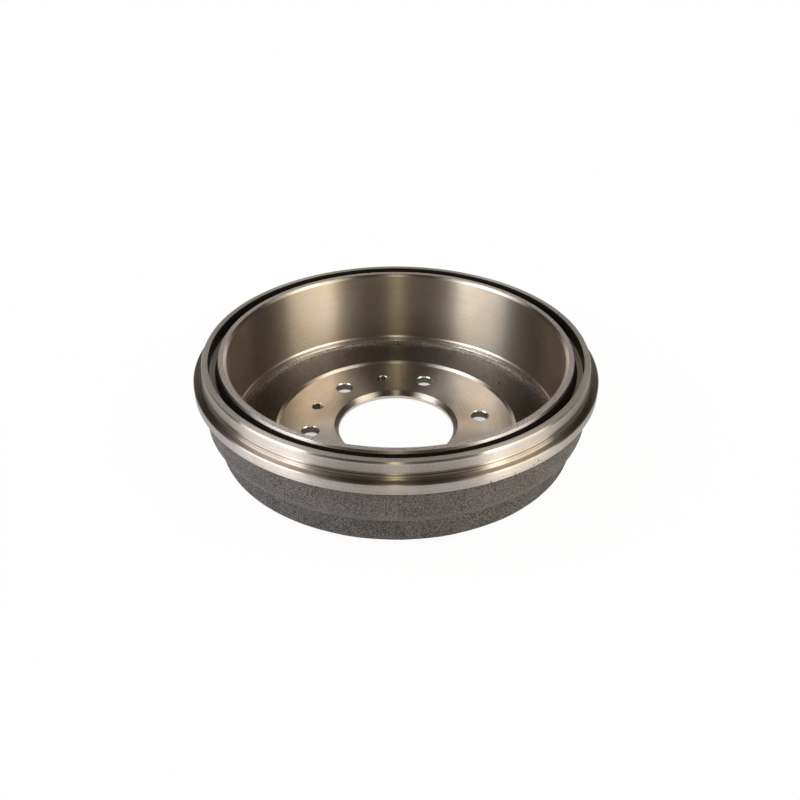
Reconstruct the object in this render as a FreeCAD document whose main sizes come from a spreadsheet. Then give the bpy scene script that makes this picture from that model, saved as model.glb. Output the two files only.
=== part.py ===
import FreeCAD, Part
import math
import os
import Sketcher

# A brake drum, cast in one piece of grey iron and turned where it is bright.
# It lies on its wheel face with its open side up. The origin is the centre of
# the wheel face, +Z is the drum's axis towards the open side, and the first
# stud hole lies on +X. All lengths are in millimetres.

SIZES = [
    ("overall_height", 77.4, "wheel face to the top of the two lips"),
    ("friction_dia", 260.0, "the drum's nominal size, where the shoes rub"),
    ("mouth_bevel_width", 2.1, "bevel that leads the shoes in, radial"),
    ("mouth_bevel_depth", 1.8, "the same bevel, along the axis"),
    ("shoulder_step", 1.1, "step in at the foot of the shoe track"),
    ("relief_height", 6.9, "run-out under the step, above the cast web"),
    ("inner_fillet", 4.5, "cast corner between wall and web, inside"),
    ("inner_lip_land", 3.9, "flat top of the inner lip"),
    ("inner_lip_bevel_width", 0.8, "outer bevel of the inner lip, radial"),
    ("inner_lip_bevel_depth", 2.0, "the same bevel, along the axis"),
    ("inner_lip_flare", 1.9, "how much thicker the inner lip is at its foot"),
    ("groove_width", 6.8, "dust groove between the lips, at its mouth"),
    ("groove_depth", 10.2, "dust groove below the top of the lips"),
    ("groove_fillet", 1.4, "corner at the foot of the inner lip"),
    ("outer_lip_land", 4.2, "flat top of the outer lip"),
    ("outer_lip_bevel_width", 0.8, "outer bevel of the outer lip, radial"),
    ("outer_lip_bevel_depth", 1.5, "the same bevel, along the axis"),
    ("outer_lip_drop", 8.6, "top of the lips to the foot of the outer wall"),
    ("foot_slope_width", 1.0, "each of two small slopes at that foot, radial"),
    ("foot_slope_depth", 1.7, "the same slopes, along the axis"),
    ("foot_riser", 0.5, "upright between the two slopes"),
    ("rim_overhang", 6.9, "turned rim, out from the outer lip's wall"),
    ("rim_drop", 12.9, "top of the lips to the top of the rim"),
    ("rim_thickness", 8.0, "turned rim, along the axis"),
    ("rim_bevel", 0.7, "top edge of the rim"),
    ("rim_break", 0.3, "bottom edge of the rim"),
    ("heavy_band_wall", 18.4, "cast band under the rim, out from the track"),
    ("heavy_band_height", 28.3, "the same band, below the rim"),
    ("heavy_band_edge", 1.8, "rounded foot of the heavy band"),
    ("cast_shoulder", 1.5, "draft of the shoulder below the heavy band"),
    ("shoulder_fillet", 2.5, "cast corner under that shoulder"),
    ("base_wall", 10.6, "cast wall around the web, out from the track"),
    ("base_corner", 3.0, "rounded corner of the cast wall"),
    ("base_setback", 3.8, "cast back above the wheel face"),
    ("wheel_face_dia", 196.0, "turned ring that the wheel seats on"),
    ("wheel_face_bevel", 1.5, "edge of that ring"),
    ("hub_plate", 6.2, "thickness at the hub face"),
    ("hub_face_dia", 190.0, "turned seat for the hub flange, inside"),
    ("hub_recess_depth", 1.8, "that seat below the cast web"),
    ("hub_recess_slope", 2.3, "sloping wall around the seat, radial"),
    ("bore_dia", 93.6, "centring bore for the hub"),
    ("bore_bevel", 3.4, "bevel of the bore, hub side"),
    ("bore_edge", 0.5, "bevel of the bore, wheel side"),
    ("stud_circle_dia", 139.7, "circle of the wheel studs"),
    ("stud_hole_count", 6, "clearance holes for the wheel studs"),
    ("stud_hole_dia", 14.0, "each clearance hole"),
    ("stud_bevel_dia", 15.2, "bevelled mouth of each clearance hole"),
    ("jack_first_angle", 90.0, "first jacking hole, from the first stud hole"),
    ("jack_spacing", 60.0, "angle between the jacking holes"),
    ("jack_hole_count", 2, "tapped holes that push the drum off its hub"),
    ("jack_hole_dia", 8.5, "core of an M10 thread"),
    ("jack_bevel_dia", 10.2, "bevelled mouth of each tapped hole"),
    ("bevel_angle", 90.0, "full angle of the bevelled mouths"),
]

SHEET_NAME = "sizes"
FULL_TURN = 360.0
NEAR = 0.001
NODE = "brake_drum"

# How a sketch numbers the points of an edge, and its own origin
EDGE_START, EDGE_END, CIRCLE_CENTRE, SKETCH_ORIGIN = 1, 2, 3, -1


class Length:
    """A length as both a formula on the sheet's cells and its present value."""

    def __init__(self, formula, value):
        self.formula = formula
        self.value = value

    def __add__(self, other):
        return Length(f"({self.formula} + {other.formula})", self.value + other.value)

    def __sub__(self, other):
        return Length(f"({self.formula} - {other.formula})", self.value - other.value)

    def __truediv__(self, number):
        return Length(f"({self.formula} / {number})", self.value / number)


def make_sheet(document):
    """Write each driving size into a cell that carries its name."""
    sheet = document.addObject("Spreadsheet::Sheet", SHEET_NAME)
    for row, (alias, value, note) in enumerate(SIZES, start=1):
        sheet.set(f"A{row}", note)
        sheet.set(f"B{row}", str(value))
        sheet.setAlias(f"B{row}", alias)
    document.recompute()
    return sheet


def size(alias):
    """Return the named size."""
    for name, value, _ in SIZES:
        if name == alias:
            return Length(f"{SHEET_NAME}.{alias}", float(value))
    raise KeyError(alias)


def origin_plane(body, role):
    """Return the body's own origin plane or axis with the given role."""
    for feature in body.Origin.OriginFeatures:
        if feature.Role == role:
            return feature
    raise LookupError(role)


def new_sketch(body, name, role):
    """Start a sketch on one of the body's origin planes."""
    sketch = body.newObject("Sketcher::SketchObject", name)
    sketch.AttachmentSupport = [(origin_plane(body, role), "")]
    sketch.MapMode = "FlatFace"
    return sketch


def pin_point(sketch, edge, name, radius, height):
    """Fix the start point of an edge at a radius and a height."""
    origin = (SKETCH_ORIGIN, EDGE_START)
    point = (edge, EDGE_START)
    label = f"{name}_radius"
    index = sketch.addConstraint(
        Sketcher.Constraint("DistanceX", *origin, *point, radius.value)
    )
    sketch.renameConstraint(index, label)
    sketch.setExpression(f"Constraints.{label}", radius.formula)
    if height is None:
        sketch.addConstraint(Sketcher.Constraint("PointOnObject", *point, SKETCH_ORIGIN))
        return
    label = f"{name}_height"
    index = sketch.addConstraint(
        Sketcher.Constraint("DistanceY", *origin, *point, height.value)
    )
    sketch.renameConstraint(index, label)
    sketch.setExpression(f"Constraints.{label}", height.formula)


def draw_outline(sketch, corners):
    """Draw a closed outline through named corners, each fixed by its sizes."""
    spots = [
        FreeCAD.Vector(radius.value, height.value if height else 0.0, 0.0)
        for _, radius, height in corners
    ]
    count = len(corners)
    for index in range(count):
        sketch.addGeometry(Part.LineSegment(spots[index], spots[(index + 1) % count]))
    for index in range(count):
        following = (index + 1) % count
        sketch.addConstraint(
            Sketcher.Constraint("Coincident", index, EDGE_END, following, EDGE_START)
        )
    for index, (name, radius, height) in enumerate(corners):
        pin_point(sketch, index, name, radius, height)


# Radii, from the shoe track outwards and then inwards
track_radius = size("friction_dia") / 2
mouth_radius = track_radius + size("mouth_bevel_width")
inner_lip_top = mouth_radius + size("inner_lip_land")
inner_lip_edge = inner_lip_top + size("inner_lip_bevel_width")
inner_lip_foot = inner_lip_edge + size("inner_lip_flare")
groove_outer = inner_lip_edge + size("groove_width")
outer_lip_top = groove_outer + size("outer_lip_land")
outer_lip_wall = outer_lip_top + size("outer_lip_bevel_width")
first_slope_radius = outer_lip_wall + size("foot_slope_width")
second_slope_radius = first_slope_radius + size("foot_slope_width")
rim_radius = outer_lip_wall + size("rim_overhang")
rim_land = rim_radius - size("rim_bevel")
rim_under = rim_radius - size("rim_break")
heavy_radius = track_radius + size("heavy_band_wall")
base_radius = track_radius + size("base_wall")
relief_radius = track_radius - size("shoulder_step")
wheel_face_radius = size("wheel_face_dia") / 2
wheel_bevel_radius = wheel_face_radius + size("wheel_face_bevel")
hub_face_radius = size("hub_face_dia") / 2
hub_rim_radius = hub_face_radius + size("hub_recess_slope")
bore_radius = size("bore_dia") / 2
bore_mouth_radius = bore_radius + size("bore_bevel")
bore_back_radius = bore_radius + size("bore_edge")

# Heights above the wheel face
top = size("overall_height")
mouth_foot = top - size("mouth_bevel_depth")
inner_bevel_foot = top - size("inner_lip_bevel_depth")
groove_floor = top - size("groove_depth")
outer_bevel_foot = top - size("outer_lip_bevel_depth")
outer_wall_foot = top - size("outer_lip_drop")
first_slope_foot = outer_wall_foot - size("foot_slope_depth")
riser_foot = first_slope_foot - size("foot_riser")
second_slope_foot = riser_foot - size("foot_slope_depth")
rim_top = top - size("rim_drop")
rim_top_edge = rim_top - size("rim_bevel")
rim_bottom = rim_top - size("rim_thickness")
rim_bottom_edge = rim_bottom + size("rim_break")
heavy_foot = rim_bottom - size("heavy_band_height")
shoulder_foot = heavy_foot - size("cast_shoulder")
cast_back = size("base_setback")
hub_seat = size("hub_plate")
web_top = hub_seat + size("hub_recess_depth")
step_foot = web_top + size("relief_height")
track_foot = step_foot + size("shoulder_step")
bore_bevel_foot = hub_seat - size("bore_bevel")
bore_back_edge = size("bore_edge")
wheel_bevel_top = size("wheel_face_bevel")

# The drum's section, one corner after the other: up the inside from the bore,
# across the two lips, down the outside and back along the wheel face
SECTION = [
    ("bore_back", bore_radius, bore_back_edge),
    ("bore_front", bore_radius, bore_bevel_foot),
    ("bore_mouth", bore_mouth_radius, hub_seat),
    ("seat_edge", hub_face_radius, hub_seat),
    ("recess_edge", hub_rim_radius, web_top),
    ("web_corner", relief_radius, web_top),
    ("relief_top", relief_radius, step_foot),
    ("track_foot", track_radius, track_foot),
    ("track_top", track_radius, mouth_foot),
    ("mouth", mouth_radius, top),
    ("inner_lip", inner_lip_top, top),
    ("inner_bevel", inner_lip_edge, inner_bevel_foot),
    ("groove_inner", inner_lip_foot, groove_floor),
    ("groove_outer", groove_outer, groove_floor),
    ("groove_mouth", groove_outer, top),
    ("outer_lip", outer_lip_top, top),
    ("outer_bevel", outer_lip_wall, outer_bevel_foot),
    ("wall_foot", outer_lip_wall, outer_wall_foot),
    ("first_slope", first_slope_radius, first_slope_foot),
    ("riser", first_slope_radius, riser_foot),
    ("second_slope", second_slope_radius, second_slope_foot),
    ("rim_root", second_slope_radius, rim_top),
    ("rim_land", rim_land, rim_top),
    ("rim_top_edge", rim_radius, rim_top_edge),
    ("rim_bottom_edge", rim_radius, rim_bottom_edge),
    ("rim_bottom", rim_under, rim_bottom),
    ("heavy_top", heavy_radius, rim_bottom),
    ("heavy_foot", heavy_radius, heavy_foot),
    ("shoulder_foot", base_radius, shoulder_foot),
    ("base_corner", base_radius, cast_back),
    ("back_foot", wheel_bevel_radius, cast_back),
    ("wheel_bevel", wheel_bevel_radius, wheel_bevel_top),
    ("wheel_face", wheel_face_radius, None),
    ("bore_edge", bore_back_radius, None),
]


def revolve_section(body):
    """Turn the section once around the drum's axis."""
    sketch = new_sketch(body, "section", "XZ_Plane")
    draw_outline(sketch, SECTION)
    drum = body.newObject("PartDesign::Revolution", "turned_drum")
    drum.Profile = sketch
    drum.ReferenceAxis = (sketch, ["V_Axis"])
    drum.Angle = FULL_TURN
    return drum


def rings_at(shape, places):
    """Name the circular edges about the axis at the given radii and heights."""
    found = []
    for radius, height in places:
        for number, edge in enumerate(shape.Edges, start=1):
            if not isinstance(edge.Curve, Part.Circle):
                continue
            centre = edge.Curve.Center
            on_axis = math.hypot(centre.x, centre.y) < NEAR
            same_height = abs(centre.z - height.value) < NEAR
            if on_axis and same_height and abs(edge.Curve.Radius - radius.value) < NEAR:
                found.append(f"Edge{number}")
    if len(found) < len(places):
        raise LookupError(f"only {len(found)} of {len(places)} rings found")
    return found


def round_rings(body, base, name, radius_name, places):
    """Round the rings with the named radius."""
    fillet = body.newObject("PartDesign::Fillet", name)
    fillet.Base = (base, rings_at(base.Shape, places))
    fillet.Radius = size(radius_name).value
    fillet.setExpression("Radius", size(radius_name).formula)
    return fillet


def spot_sketch(body, name, hole_dia, angle):
    """Place one circle on the hub face, on the stud circle, at an angle."""
    sketch = new_sketch(body, name, "XY_Plane")
    sketch.AttachmentOffset = FreeCAD.Placement(
        FreeCAD.Vector(0, 0, hub_seat.value), FreeCAD.Rotation()
    )
    sketch.setExpression("AttachmentOffset.Base.z", hub_seat.formula)
    reach = (size("stud_circle_dia") / 2).value
    turn = math.radians(angle.value) if angle else 0.0
    centre = FreeCAD.Vector(reach * math.cos(turn), reach * math.sin(turn), 0)
    arm = sketch.addGeometry(Part.LineSegment(FreeCAD.Vector(), centre), True)
    circle = sketch.addGeometry(
        Part.Circle(centre, FreeCAD.Vector(0, 0, 1), hole_dia.value / 2)
    )
    sketch.addConstraint(
        Sketcher.Constraint("Coincident", arm, EDGE_START, SKETCH_ORIGIN, EDGE_START)
    )
    sketch.addConstraint(
        Sketcher.Constraint("Coincident", circle, CIRCLE_CENTRE, arm, EDGE_END)
    )
    index = sketch.addConstraint(Sketcher.Constraint("Distance", arm, reach))
    sketch.renameConstraint(index, "reach")
    sketch.setExpression("Constraints.reach", (size("stud_circle_dia") / 2).formula)
    index = sketch.addConstraint(Sketcher.Constraint("Diameter", circle, hole_dia.value))
    sketch.renameConstraint(index, "hole")
    sketch.setExpression("Constraints.hole", hole_dia.formula)
    if angle is None:
        sketch.addConstraint(Sketcher.Constraint("PointOnObject", arm, EDGE_END, SKETCH_ORIGIN))
    else:
        index = sketch.addConstraint(Sketcher.Constraint("Angle", arm, turn))
        sketch.renameConstraint(index, "turn")
        sketch.setExpression("Constraints.turn", f"{angle.formula} * 1 deg")
    return sketch


def drill(document, body, name, sketch, hole_dia, mouth_dia):
    """Drill one bevelled hole through the hub plate, from the hub side."""
    document.recompute()
    before = body.Shape.Volume
    hole = body.newObject("PartDesign::Hole", name)
    hole.Profile = sketch
    document.recompute()
    hole.DepthType = "ThroughAll"
    hole.Threaded = False
    hole.Diameter = hole_dia.value
    hole.setExpression("Diameter", hole_dia.formula)
    hole.HoleCutType = "Countersink"
    hole.HoleCutCustomValues = True
    hole.HoleCutDiameter = mouth_dia.value
    hole.setExpression("HoleCutDiameter", mouth_dia.formula)
    hole.HoleCutCountersinkAngle = size("bevel_angle").value
    hole.setExpression("HoleCutCountersinkAngle", size("bevel_angle").formula)
    document.recompute()
    if hole.Shape.Volume >= before:
        raise ValueError(f"{name} removed nothing")
    return hole


def repeat_around(document, body, hole, name, count, angle_formula):
    """Repeat a hole around the drum's axis over the given angle."""
    pattern = body.newObject("PartDesign::PolarPattern", name)
    pattern.Originals = [hole]
    pattern.Axis = (origin_plane(body, "Z_Axis"), [""])
    pattern.setExpression("Angle", angle_formula)
    pattern.Occurrences = int(count.value)
    pattern.setExpression("Occurrences", count.formula)
    body.Tip = pattern
    document.recompute()
    return pattern


def make_drum(document):
    """Build the drum: turned section, cast corners, stud and jacking holes."""
    body = document.addObject("PartDesign::Body", NODE)
    body.Label = NODE
    drum = revolve_section(body)
    document.recompute()
    inside = round_rings(
        body, drum, "cast_inner_corner", "inner_fillet", [(relief_radius, web_top)]
    )
    document.recompute()
    groove = round_rings(
        body, inside, "groove_corner", "groove_fillet", [(inner_lip_foot, groove_floor)]
    )
    document.recompute()
    corner = round_rings(
        body, groove, "cast_outer_corner", "base_corner", [(base_radius, cast_back)]
    )
    document.recompute()
    band = round_rings(
        body, corner, "heavy_band_foot", "heavy_band_edge", [(heavy_radius, heavy_foot)]
    )
    document.recompute()
    round_rings(
        body, band, "cast_shoulder_corner", "shoulder_fillet", [(base_radius, shoulder_foot)]
    )
    document.recompute()

    stud = spot_sketch(body, "stud_spot", size("stud_hole_dia"), None)
    stud_hole = drill(
        document, body, "stud_hole", stud, size("stud_hole_dia"), size("stud_bevel_dia")
    )
    repeat_around(
        document, body, stud_hole, "stud_holes", size("stud_hole_count"), f"{FULL_TURN}"
    )

    jack = spot_sketch(body, "jack_spot", size("jack_hole_dia"), size("jack_first_angle"))
    jack_hole = drill(
        document, body, "jack_hole", jack, size("jack_hole_dia"), size("jack_bevel_dia")
    )
    jack_count = size("jack_hole_count")
    repeat_around(
        document,
        body,
        jack_hole,
        "jack_holes",
        jack_count,
        f"{size('jack_spacing').formula} * ({jack_count.formula} - 1)",
    )
    return body


def check(document, body):
    """Stop on a failed feature, or on a body that isn't one sound solid."""
    for item in document.Objects:
        if "Invalid" in item.State or "Error" in item.State:
            raise ValueError(f"{item.Name} failed: {item.State}")
    shape = body.Shape
    if shape.isNull() or not shape.isValid():
        raise ValueError("the drum's shape isn't sound")
    if len(shape.Solids) != 1:
        raise ValueError(f"the drum has {len(shape.Solids)} solids")


def write_parts(body):
    """Write the drum's solid to its own file."""
    os.makedirs("parts", exist_ok=True)
    body.Shape.exportStep(os.path.join("parts", f"{body.Label}.step"))


document = FreeCAD.newDocument("brake_drum_part")
make_sheet(document)
drum_body = make_drum(document)
document.recompute()
check(document, drum_body)
write_parts(drum_body)
print("volume mm3", round(drum_body.Shape.Volume), "box", drum_body.Shape.BoundBox)
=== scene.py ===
"""A brake drum, turned and cast in grey iron, as an add-on that builds it piece by piece.

All lengths are in metres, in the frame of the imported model: the drum stands on
its wheel face at height 0, its axis is Z and its first stud hole lies on +X.
"""

import math
from collections import namedtuple

import bmesh
import bpy
from mathutils import Matrix, Quaternion, Vector, geometry, noise


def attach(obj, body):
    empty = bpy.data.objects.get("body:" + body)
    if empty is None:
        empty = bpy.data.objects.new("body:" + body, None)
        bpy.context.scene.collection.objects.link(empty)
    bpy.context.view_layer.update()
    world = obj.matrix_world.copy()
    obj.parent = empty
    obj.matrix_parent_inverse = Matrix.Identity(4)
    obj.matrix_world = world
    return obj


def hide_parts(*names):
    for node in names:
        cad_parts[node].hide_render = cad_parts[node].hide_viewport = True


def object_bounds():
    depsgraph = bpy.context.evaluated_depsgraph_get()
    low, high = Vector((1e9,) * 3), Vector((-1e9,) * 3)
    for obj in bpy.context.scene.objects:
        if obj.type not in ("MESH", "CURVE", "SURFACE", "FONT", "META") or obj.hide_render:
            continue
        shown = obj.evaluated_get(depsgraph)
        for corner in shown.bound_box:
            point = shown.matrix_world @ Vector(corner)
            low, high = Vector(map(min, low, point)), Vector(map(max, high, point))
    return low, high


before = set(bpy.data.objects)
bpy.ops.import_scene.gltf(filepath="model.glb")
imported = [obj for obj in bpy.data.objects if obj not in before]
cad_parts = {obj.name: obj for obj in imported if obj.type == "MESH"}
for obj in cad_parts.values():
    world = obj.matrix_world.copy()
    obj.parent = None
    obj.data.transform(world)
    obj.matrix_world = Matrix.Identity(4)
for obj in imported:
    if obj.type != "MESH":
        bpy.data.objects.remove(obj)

bl_info = {
    "name": "Brake drum",
    "version": (1, 0, 0),
    "blender": (4, 5, 0),
    "location": "3D View > Sidebar > Drum",
    "description": "Builds a cast iron brake drum and the studio it stands in",
    "category": "Object",
}

MM = 0.001
CAD_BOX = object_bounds()

NODE = "brake_drum"
BODY = "root"

# The finishes on the drum, in the order of TURNED and SKINS below
(
    TRACK,
    RIM,
    STEPS,
    BEVEL,
    INNER_LIP,
    OUTER_LIP,
    GROOVE,
    GROOVE_SHADE,
    SEAT,
    INNER_BEVEL,
    RELIEF,
    MOUTH,
    DRILLED,
    TAPPED,
    WEB,
    FILLET,
    CAST,
    FOOT_HIGHLIGHT,
    BASE,
) = range(19)
SAND_CAST = (WEB, FILLET, CAST, FOOT_HIGHLIGHT, BASE)

# Sand pits in the web: direction in degrees, then radius, reach and depth in mm
SAND_PITS = (
    (23.7, 106.3, 1.7, 0.9),
    (24.6, 108.3, 1.3, 0.7),
    (-1.6, 103.2, 1.2, 0.5),
    (-4.4, 101.6, 0.9, 0.4),
)

# The height of their dark marks, in mm: painted shade in the pits
PIT_SHADE_HEIGHT = 7.5


def around_axis(degrees, radius, height):
    """A place given by its direction, radius and height, the last two in mm."""
    turn = math.radians(degrees)
    return Vector((radius * MM * math.cos(turn), radius * MM * math.sin(turn), height * MM))


# Dark marks, as direction in degrees, then radius, height and reach in mm: an
# open pore in the track and the seat, painted shade in the web's pits, and nicks in the rim
MARKS = {
    "turned_track": ((119.1, 130.0, 23.1, 0.8),),
    "turned_seat": ((33.1, 69.35, 6.2, 0.9),),
    # The web's pits: painted shade
    "cast_web": tuple(
        (turn, radius, PIT_SHADE_HEIGHT, reach) for turn, radius, reach, _ in SAND_PITS
    ),
    "turned_rim": (
        (-76.0, 155.5, 57.6, 1.1),
        (-72.6, 155.5, 58.6, 0.6),
        (-69.0, 155.5, 57.9, 1.0),
        (-66.3, 155.5, 60.2, 0.6),
        (-63.1, 155.5, 58.4, 1.0),
        (-61.6, 155.5, 60.0, 1.2),
        (-60.4, 155.5, 58.2, 0.9),
    ),
}

# How finely the skin, the holes and the thread are turned, into how many slices
# the thread's mouths are cut, and how finely the section's corners are rounded
DRUM_STEPS = 360
HOLE_STEPS = 48
THREAD_STEPS = 36
MOUTH_CUTS = 4
EDGE_SEGMENTS = 3
FILLET_SEGMENTS = 9
CORNER_SEGMENTS = 7
BASE_SEGMENTS = 8

# Distances, in metres, below which points and heights count as the same
SAME_POINT = 1e-6
SAME_HEIGHT = 1e-5

# Edges that turn by more than this many degrees stay sharp in the shading
CREASE = 12.0

# The thread's profile over one pitch: whether each point lies at the root, and
# its share of the pitch. The thread starts below the plate and ends above it.
THREAD_PROFILE = ((True, 0.0), (True, 0.12), (False, 0.42), (False, 0.70), (True, 1.0))
TURNS_BELOW = 1.5
SPARE_TURNS = 3

# The casting's quicker waves: how many to each slow one, and their share of it
QUICK_WAVES = 3.1
QUICK_SHARE = 0.45

# The finer mesh around a sand pit: how far it goes, as a share of the pit's
# reach, and how often its edges are cut
PIT_SURROUND = 2.2
PIT_CUTS = 4


def length(name, description, millimetres):
    """A length, given in millimetres and kept in metres."""
    return bpy.props.FloatProperty(
        name=name,
        description=description,
        default=millimetres * MM,
        min=0.0,
        precision=5,
        unit="LENGTH",
    )


def angle(name, description, degrees):
    """An angle, given in degrees and kept in radians."""
    return bpy.props.FloatProperty(
        name=name, description=description, default=math.radians(degrees), unit="ROTATION"
    )


def count(name, description, number):
    """A whole number of like features."""
    return bpy.props.IntProperty(name=name, description=description, default=number, min=1)


def factor(name, description, value, highest=1.0):
    """A plain number from nothing to its highest value."""
    return bpy.props.FloatProperty(
        name=name, description=description, default=value, min=0.0, max=highest, subtype="FACTOR"
    )


def tint(name, description, red, green, blue):
    """A colour, in linear light."""
    return bpy.props.FloatVectorProperty(
        name=name,
        description=description,
        default=(red, green, blue),
        min=0.0,
        max=1.0,
        size=3,
        subtype="COLOR",
    )


class DrumSizes(bpy.types.PropertyGroup):
    """The drum's sizes."""

    overall_height: length("Height", "Wheel face to lips", CAD_BOX[1].z / MM)
    friction_dia: length("Shoe track", "Across the track that the shoes rub", 260.0)
    mouth_bevel_width: length("Mouth bevel width", "Lead-in above the track, radial", 2.1)
    mouth_bevel_depth: length("Mouth bevel depth", "The same, along the axis", 1.8)
    shoulder_step: length("Shoulder step", "Step in at the foot of the track", 1.1)
    relief_height: length("Relief height", "Run-out below that step", 6.9)
    inner_fillet: length("Inner fillet", "Cast corner of wall and web", 4.5)
    inner_lip_land: length("Inner lip", "Flat top of the inner lip", 3.9)
    inner_lip_bevel_width: length("Inner lip bevel width", "Outer bevel, radial", 0.8)
    inner_lip_bevel_depth: length("Inner lip bevel depth", "The same, along the axis", 2.0)
    inner_lip_flare: length("Inner lip flare", "Extra thickness at its foot", 1.9)
    groove_width: length("Groove width", "Dust groove at its mouth", 6.8)
    groove_depth: length("Groove depth", "Dust groove below the lips", 10.2)
    groove_fillet: length("Groove fillet", "Corner at the inner lip's foot", 1.4)
    outer_lip_land: length("Outer lip", "Flat top of the outer lip", 4.2)
    outer_lip_bevel_width: length("Outer lip bevel width", "Outer bevel, radial", 0.8)
    outer_lip_bevel_depth: length("Outer lip bevel depth", "The same, along the axis", 1.5)
    outer_lip_drop: length("Outer wall foot", "Lips to the foot of the outer wall", 8.6)
    foot_slope_width: length("Foot slope width", "Each small slope there, radial", 1.0)
    foot_slope_depth: length("Foot slope depth", "The same, along the axis", 1.7)
    foot_riser: length("Foot riser", "Upright between the two slopes", 0.5)
    rim_overhang: length("Rim overhang", "Rim, out from the outer wall", 6.9)
    rim_drop: length("Rim drop", "Lips to the top of the rim", 12.9)
    rim_thickness: length("Rim thickness", "Rim, along the axis", 8.0)
    rim_bevel: length("Rim bevel", "Top edge of the rim", 0.7)
    rim_break: length("Rim break", "Bottom edge of the rim", 0.3)
    heavy_band_wall: length("Heavy band wall", "Out from the track", 18.4)
    heavy_band_height: length("Heavy band height", "Below the rim", 28.3)
    heavy_band_edge: length("Heavy band edge", "Rounded foot of the band", 1.8)
    cast_shoulder: length("Cast shoulder", "Draft below the heavy band", 1.5)
    shoulder_fillet: length("Shoulder fillet", "Corner under the shoulder", 2.5)
    base_wall: length("Base wall", "Out from the track, lower down", 10.6)
    base_corner: length("Base corner", "Rounded corner of the base", 3.0)
    base_setback: length("Base setback", "Cast back above the wheel face", 3.8)
    wheel_face_dia: length("Wheel face", "Turned ring under the hub plate", 196.0)
    wheel_face_bevel: length("Wheel face bevel", "Edge of that ring", 1.5)
    hub_plate: length("Hub plate", "Thickness at the hub seat", 6.2)
    hub_face_dia: length("Hub seat", "Turned seat for the hub flange", 190.0)
    hub_recess_depth: length("Recess depth", "Seat below the web", 1.8)
    hub_recess_slope: length("Recess slope", "Wall around the seat, radial", 2.3)
    bore_dia: length("Bore", "Centring bore for the hub", 93.6)
    bore_bevel: length("Bore bevel", "Bevel of the bore, hub side", 3.4)
    bore_edge: length("Bore edge", "Bevel of the bore, wheel side", 0.5)
    stud_circle_dia: length("Stud circle", "Circle of the stud holes", 139.7)
    stud_hole_count: count("Stud holes", "Clearance holes for wheel studs", 6)
    stud_hole_dia: length("Stud hole", "Each clearance hole", 14.0)
    stud_bevel_dia: length("Stud hole mouth", "Bevelled mouth, hub side", 15.2)
    stud_break: length("Stud hole break", "Broken edge, wheel side", 0.25)
    jack_first_angle: angle("First jacking hole", "From the first stud hole", 90.0)
    jack_spacing: angle("Jacking hole spacing", "Between the jacking holes", 60.0)
    jack_hole_count: count("Jacking holes", "Tapped holes in the hub plate", 2)
    jack_core_dia: length("Thread core", "Crests of the thread", 8.5)
    jack_root_dia: length("Thread root", "Roots of the thread", 10.0)
    jack_pitch: length("Thread pitch", "From one crest to the next", 1.5)
    jack_bevel_dia: length("Jacking hole mouth", "Bevelled mouth, hub side", 10.2)
    jack_lead: length("Thread lead-in", "Depth of each bevelled mouth", 0.85)
    edge_break: length("Edge break", "Rounding of the turned edges", 0.18)
    cast_spacing: length("Cast mesh", "Spacing of rings on cast faces", 2.4)
    cast_swell: length("Cast swell", "Height of the casting's slow waves", 0.16)
    cast_wave: length("Cast wave", "Length of those waves", 16.0)


class DrumFinish(bpy.types.PropertyGroup):
    """The drum's colours and surface values."""

    turned: tint("Turned iron", "Bare turned metal", 0.403, 0.353, 0.300)
    stain: tint("Stain", "What a faint stain leaves of the light", 0.92, 0.88, 0.83)
    rim: tint("Rim", "Turned rim and outer wall", 0.505, 0.465, 0.450)
    steps: tint("Steps", "Turned steps between them", 0.338, 0.296, 0.258)
    bevel: tint("Bevels", "Cleaner cut of the bevels", 0.308, 0.284, 0.266)
    inner_lip: tint("Inner lip", "Coarser turned top of the inner lip", 0.410, 0.376, 0.372)
    outer_lip: tint("Outer lip", "Turned top of the outer lip", 0.380, 0.366, 0.344)
    groove: tint("Groove", "Turned floor of the dust groove", 0.740, 0.690, 0.690)
    # Painted shade: a near-black colour on the dust groove's walls, where shade falls deep in the
    # groove
    scale: tint("Scale", "Dark walls of the dust groove", 0.030, 0.026, 0.024)
    seat: tint("Seat", "Turned hub seat and wheel face", 0.790, 0.730, 0.680)
    inner_bevel: tint("Inner bevels", "Bright cut of the inner bevels", 0.530, 0.490, 0.450)
    mouth: tint("Hole mouths", "Bright cut of the holes' mouths", 0.70, 0.66, 0.62)
    relief: tint("Relief", "Brighter turned wall below the track", 0.85, 0.79, 0.73)
    drilled: tint("Drilled iron", "Walls of the stud holes", 0.170, 0.158, 0.145)
    thread: tint("Thread", "Threads of the jacking holes", 0.25, 0.23, 0.21)
    web: tint("Cast web", "Cast skin inside the drum", 0.225, 0.199, 0.183)
    web_dark: tint("Cast web, dark", "Hollows of that skin", 0.112, 0.099, 0.089)
    fillet: tint("Cast fillet", "Rubbed skin of the inner corner", 0.330, 0.300, 0.270)
    fillet_dark: tint("Cast fillet, dark", "Hollows of that skin", 0.100, 0.088, 0.077)
    cast: tint("Cast skin", "Blasted outside of the casting", 0.197, 0.172, 0.170)
    cast_dark: tint("Cast skin, dark", "Hollows of that skin", 0.041, 0.037, 0.037)
    # Painted highlight: the heavy band's rounded foot faces down, and this skin, lighter in its
    # hollows than the cast skin, stands in for light caught by that edge
    edge: tint("Cast edge", "Rubbed foot of the heavy band", 0.173, 0.152, 0.147)
    edge_dark: tint("Cast edge, dark", "Hollows of that skin", 0.075, 0.068, 0.066)
    base: tint("Cast base", "Coarser skin of the base wall and back", 0.190, 0.171, 0.170)
    base_dark: tint("Cast base, dark", "Hollows of that skin", 0.030, 0.028, 0.027)
    # Also the colour of the painted shade in the web's sand pits
    speck: tint("Graphite", "Specks and pits", 0.035, 0.030, 0.026)


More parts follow.
